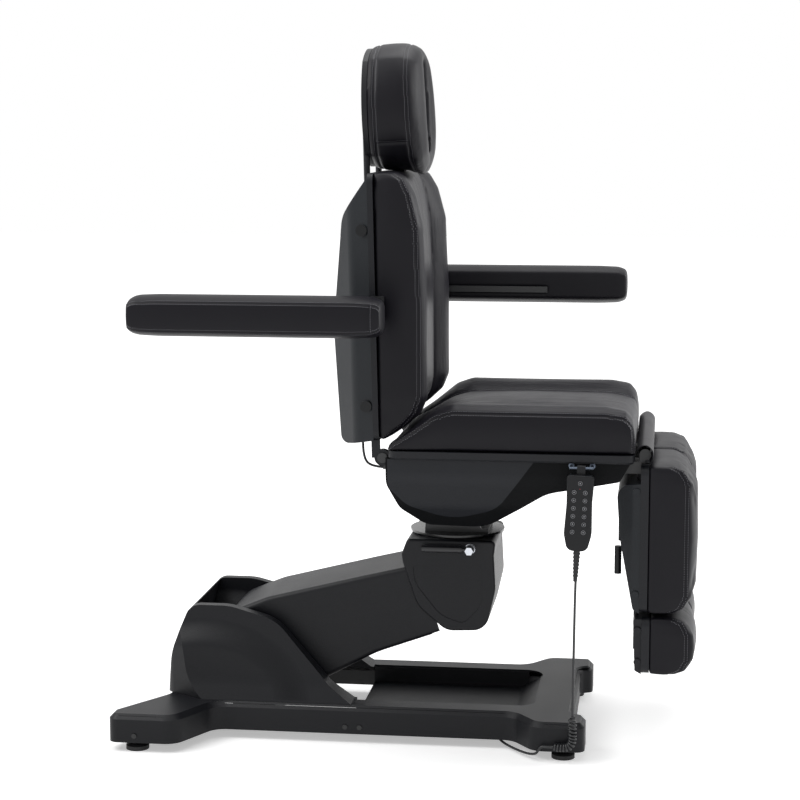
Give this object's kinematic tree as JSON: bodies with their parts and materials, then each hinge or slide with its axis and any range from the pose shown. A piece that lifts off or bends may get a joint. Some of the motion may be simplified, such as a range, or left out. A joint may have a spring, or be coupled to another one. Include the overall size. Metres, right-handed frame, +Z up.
{
  "type": "tattoo chair",
  "caption": "Electric treatment chair on a swinging lift arm, with a reclining back, headrest, flip-back armrests, split leg rests and a corded handset.",
  "frame": {"origin": "on the floor, under the middle of the chair's outline", "axes": "+X towards the sitter's feet, +Y to the sitter's left, +Z up"},
  "size_m": [1.258, 0.776, 1.5199],
  "materials": {
    "leathercloth": "satin",
    "cushion": "satin",
    "moulding": "matte",
    "steel_black": "satin",
    "steel_bright": "brushed",
    "board": "matte",
    "rubber": "matte"
  },
  "bodies": {
    "base": {"base_front_cover": "moulding", "base_rear_cover": "moulding", "tray_liner": "moulding", "base_frame": "steel_black", "levelling_feet": "rubber", "cover_screws": "steel_black", "arm_housing": "moulding", "rear_shaft": "steel_bright", "cord_tail": "rubber", "cord_gland": "rubber", "cord_coil": "rubber"},
    "lift_arm": {"arm_upper_cover": "moulding", "arm_lower_cover": "moulding", "arm_beam": "steel_black"},
    "parallel_link": {"link_bar": "steel_black"},
    "knuckle": {"knuckle_frame": "steel_black", "knuckle_side_covers": "moulding", "knuckle_front_cover": "moulding", "knuckle_cap": "moulding", "lock_stud": "steel_bright"},
    "lock_handle": {"lock_lever": "steel_black"},
    "turntable": {"swivel_disc": "steel_black", "tilt_bracket": "steel_black"},
    "seat": {"seat_frame": "steel_black", "belly_shell": "moulding", "belly_panels": "moulding", "seat_rim": "board", "seat_cushion": "cushion", "gap_flap": "leathercloth", "handset_hook_bar": "steel_bright", "back_cable": "rubber"},
    "backrest": {"back_board": "board", "back_shell": "moulding", "back_shell_knobs": "moulding", "back_cushion": "cushion", "armrest_shafts": "steel_black"},
    "headrest": {"headrest_board": "board", "headrest_cushion": "cushion"},
    "armrest_left": {"armrest_left_pad": "cushion", "armrest_left_bar": "steel_black"},
    "armrest_right": {"armrest_right_pad": "cushion", "armrest_right_bar": "steel_black"},
    "handset": {"handset_case": "moulding", "handset_keys": "rubber", "handset_strain_relief": "rubber", "cord_straight": "rubber"},
    "leg_left": {"leg_left_board": "board", "leg_left_shell": "moulding", "leg_left_pad": "cushion"},
    "foot_left": {"foot_left_casing": "moulding", "foot_left_pad": "cushion"},
    "leg_left_release": {"leg_left_lever": "moulding"},
    "leg_right": {"leg_right_board": "board", "leg_right_shell": "moulding", "leg_right_pad": "cushion"},
    "foot_right": {"foot_right_casing": "moulding", "foot_right_pad": "cushion"},
    "leg_right_release": {"leg_right_lever": "moulding"}
  },
  "joints": [
    {"name": "lift", "type": "hinge", "parent": "base", "child": "lift_arm", "pos_m": [-0.35, 0, 0.2], "axis": [0, -1, 0], "range_deg": [-12, 27], "deforming": ["cord_straight"]},
    {"name": "link_swing", "type": "hinge", "parent": "base", "child": "parallel_link", "pos_m": [-0.324, 0, 0.154], "axis": [0, -1, 0], "range_deg": [-12, 27]},
    {"name": "knuckle_level", "type": "hinge", "parent": "lift_arm", "child": "knuckle", "pos_m": [0.097, 0, 0.315], "axis": [0, -1, 0], "range_deg": [-27, 12]},
    {"name": "lock_turn", "type": "hinge", "parent": "knuckle", "child": "lock_handle", "pos_m": [0.137, -0.138, 0.424], "axis": [0, -1, 0], "range_deg": [0, 35]},
    {"name": "swivel", "type": "hinge", "parent": "knuckle", "child": "turntable", "pos_m": [0.097, 0, 0.443], "axis": [0, 0, 1], "range_deg": [-120, 120], "deforming": ["cord_straight"]},
    {"name": "seat_tilt", "type": "hinge", "parent": "turntable", "child": "seat", "pos_m": [0.06, 0, 0.545], "axis": [0, -1, 0], "range_deg": [0, 15], "deforming": ["cord_straight"]},
    {"name": "back_recline", "type": "hinge", "parent": "seat", "child": "backrest", "pos_m": [-0.041, 0, 0.64], "axis": [0, -1, 0], "range_deg": [0, 88], "deforming": ["back_cable"]},
    {"name": "headrest_height", "type": "slide", "parent": "backrest", "child": "headrest", "axis": [-0.0244, 0, 0.9997], "range_m": [0, 0.08]},
    {"name": "armrest_left_swing", "type": "hinge", "parent": "backrest", "child": "armrest_left", "pos_m": [-0.049, 0.29, 0.96], "axis": [0, -1, 0], "range_deg": [0, 180]},
    {"name": "armrest_right_swing", "type": "hinge", "parent": "backrest", "child": "armrest_right", "pos_m": [-0.049, -0.29, 0.96], "axis": [0, -1, 0], "range_deg": [-180, 0]},
    {"name": "handset_lift", "type": "slide", "parent": "seat", "child": "handset", "axis": [0, 0, 1], "range_m": [0, 0.008], "deforming": ["cord_straight"]},
    {"name": "leg_left_lift", "type": "hinge", "parent": "seat", "child": "leg_left", "pos_m": [0.515, 0.131, 0.655], "axis": [0, -1, 0], "range_deg": [0, 90]},
    {"name": "foot_left_slide", "type": "slide", "parent": "leg_left", "child": "foot_left", "axis": [0, 0, -1], "range_m": [0, 0.085]},
    {"name": "leg_left_release_pull", "type": "hinge", "parent": "leg_left", "child": "leg_left_release", "pos_m": [0.48405, 0.1758, 0.445], "axis": [0, 1, 0], "range_deg": [0, 22], "stiffness_Nm_per_rad": 1},
    {"name": "leg_right_lift", "type": "hinge", "parent": "seat", "child": "leg_right", "pos_m": [0.515, -0.131, 0.655], "axis": [0, -1, 0], "range_deg": [0, 90]},
    {"name": "foot_right_slide", "type": "slide", "parent": "leg_right", "child": "foot_right", "axis": [0, 0, -1], "range_m": [0, 0.085]},
    {"name": "leg_right_release_pull", "type": "hinge", "parent": "leg_right", "child": "leg_right_release", "pos_m": [0.48405, -0.1758, 0.445], "axis": [0, 1, 0], "range_deg": [0, 22], "stiffness_Nm_per_rad": 1}
  ],
  "couplings": [
    {"joint": "link_swing", "follows": "lift", "ratio": 1},
    {"joint": "knuckle_level", "follows": "lift", "ratio": -1}
  ]
}
